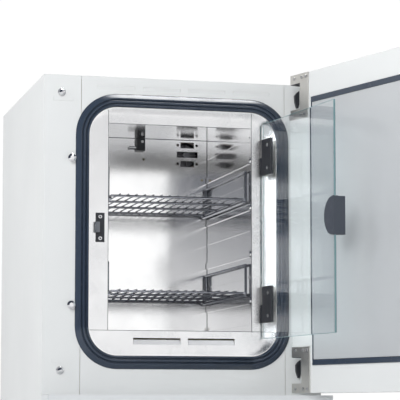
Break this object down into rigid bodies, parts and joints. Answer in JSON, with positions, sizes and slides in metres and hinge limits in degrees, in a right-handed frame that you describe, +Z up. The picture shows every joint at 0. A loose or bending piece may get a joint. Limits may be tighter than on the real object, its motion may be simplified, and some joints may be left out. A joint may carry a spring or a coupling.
{
  "type": "laboratory incubator",
  "caption": "Free-standing incubator: insulated cabinet, polished steel chamber with wire shelves, frameless glass inner door and insulated outer door.",
  "frame": {"origin": "on the floor, in the middle of the four feet", "axes": "+Z up, -Y out of the front through the chamber's mouth, +X to the right seen from the front"},
  "size_m": [0.9486, 1.4614, 1.104],
  "materials": {
    "paint_white": "semi-gloss powder coat",
    "zinc_sheet": "galvanised sheet",
    "inner_panel": "smooth semi-gloss",
    "polished_steel": "polished stainless steel",
    "shelf_steel": "electropolished rod",
    "satin_steel": "satin stainless steel",
    "chrome": "bright chrome",
    "seal_rubber": "matt extruded rubber",
    "foot_rubber": "moulded rubber",
    "glass": "clear toughened glass",
    "dark_plastic": "fine matt",
    "handle_plastic": "fine matt",
    "probe_steel": "drawn tube",
    "wool": "mineral wool",
    "fan_alloy": "pressed sheet",
    "motor_iron": "painted can",
    "heater_steel": "heat-tinted tube",
    "display": "tinted glossy window",
    "key_plastic": "soft-touch",
    "switch_plastic": "glossy",
    "board": "solder mask",
    "supply_case": "perforated sheet",
    "inlet_plastic": "moulded"
  },
  "bodies": {
    "cabinet": {"outer_casing": "paint_white", "front_left_post": "paint_white", "front_right_post": "paint_white", "front_top_strip": "paint_white", "front_bottom_strip": "paint_white", "back_panel": "paint_white", "control_fascia": "paint_white", "blanking_strips": "paint_white", "door_hinge_arms": "paint_white", "base_pan": "zinc_sheet", "chamber_back_wall": "polished_steel", "chamber_left_wall": "polished_steel", "chamber_right_wall": "polished_steel", "chamber_ceiling": "polished_steel", "chamber_floor": "polished_steel", "flange_left": "polished_steel", "flange_right": "polished_steel", "flange_top": "polished_steel", "flange_bottom": "polished_steel", "flange_collar": "polished_steel", "shelf_runners": "shelf_steel", "glass_latch_plate": "satin_steel", "glass_hinge_leaves": "satin_steel", "catch_studs": "chrome", "corner_studs": "chrome", "chamber_seal": "seal_rubber", "feet": "foot_rubber", "sensor_bracket": "dark_plastic", "sensor_probe": "probe_steel", "insulation_sides": "wool", "insulation_top": "wool", "insulation_floor": "wool", "insulation_back": "wool", "fan_housing": "fan_alloy", "fan_motor": "motor_iron", "ring_heater": "heater_steel", "display_window": "display", "control_board": "board", "power_supply": "supply_case", "mains_inlet": "inlet_plastic"},
    "outer_door": {"door_shell": "paint_white", "door_inner_panel": "inner_panel", "door_insulation": "wool", "door_gasket": "seal_rubber", "door_hinge_brackets": "satin_steel", "latch_guides": "satin_steel"},
    "door_handle": {"door_handle": "handle_plastic"},
    "latch_bar": {"latch_bar": "satin_steel"},
    "glass_door": {"glass_pane": "glass", "glass_hinge_clamps": "dark_plastic", "glass_handle": "dark_plastic"},
    "latch_roller": {"latch_roller": "dark_plastic"},
    "shelf_upper": {"shelf_upper": "shelf_steel"},
    "shelf_lower": {"shelf_lower": "shelf_steel"},
    "fan": {"fan_impeller": "fan_alloy"},
    "key_up": {"key_up": "key_plastic"},
    "key_down": {"key_down": "key_plastic"},
    "key_set": {"key_set": "key_plastic"},
    "power_switch": {"power_switch": "switch_plastic"}
  },
  "joints": [
    {"name": "outer_door_hinge", "type": "hinge", "parent": "cabinet", "child": "outer_door", "pos_m": [0.336, -0.418, 0.69], "axis": [0, 0, 1], "range_deg": [-107, 3]},
    {"name": "glass_door_hinge", "type": "hinge", "parent": "cabinet", "child": "glass_door", "pos_m": [0.22, -0.32, 0.702], "axis": [0, 0, 1], "range_deg": [-97.05, 3]},
    {"name": "handle_turn", "type": "hinge", "parent": "outer_door", "child": "door_handle", "pos_m": [0.52136, -1.0243, 0.686], "axis": [-0.9563, -0.2924, 0], "range_deg": [0, 60]},
    {"name": "latch_slide", "type": "slide", "parent": "outer_door", "child": "latch_bar", "axis": [0, 0, 1], "range_m": [-0.01501, 0]},
    {"name": "roller_snap", "type": "slide", "parent": "cabinet", "child": "latch_roller", "axis": [1, 0, 0], "range_m": [-0.003, 0], "stiffness_N_per_m": 400},
    {"name": "shelf_upper_slide", "type": "slide", "parent": "cabinet", "child": "shelf_upper", "axis": [0, -1, 0], "range_m": [0, 0.3]},
    {"name": "shelf_lower_slide", "type": "slide", "parent": "cabinet", "child": "shelf_lower", "axis": [0, -1, 0], "range_m": [0, 0.3]},
    {"name": "fan_spin", "type": "hinge", "parent": "cabinet", "child": "fan", "pos_m": [0.134, 0.175, 0.966], "axis": [0, 1, 0], "continuous": true},
    {"name": "key_up_press", "type": "slide", "parent": "cabinet", "child": "key_up", "axis": [0, 1, 0], "range_m": [0, 0.0015], "stiffness_N_per_m": 400},
    {"name": "key_down_press", "type": "slide", "parent": "cabinet", "child": "key_down", "axis": [0, 1, 0], "range_m": [0, 0.0015], "stiffness_N_per_m": 400},
    {"name": "key_set_press", "type": "slide", "parent": "cabinet", "child": "key_set", "axis": [0, 1, 0], "range_m": [0, 0.0015], "stiffness_N_per_m": 400},
    {"name": "power_rock", "type": "hinge", "parent": "cabinet", "child": "power_switch", "pos_m": [0.28, -0.443, 0.1605], "axis": [1, 0, 0], "range_deg": [0, 15]}
  ],
  "couplings": [
    {"joint": "glass_door_hinge", "follows": "outer_door_hinge", "ratio": 0.90654},
    {"joint": "latch_slide", "follows": "handle_turn", "m_per_rad": -0.014324}
  ]
}
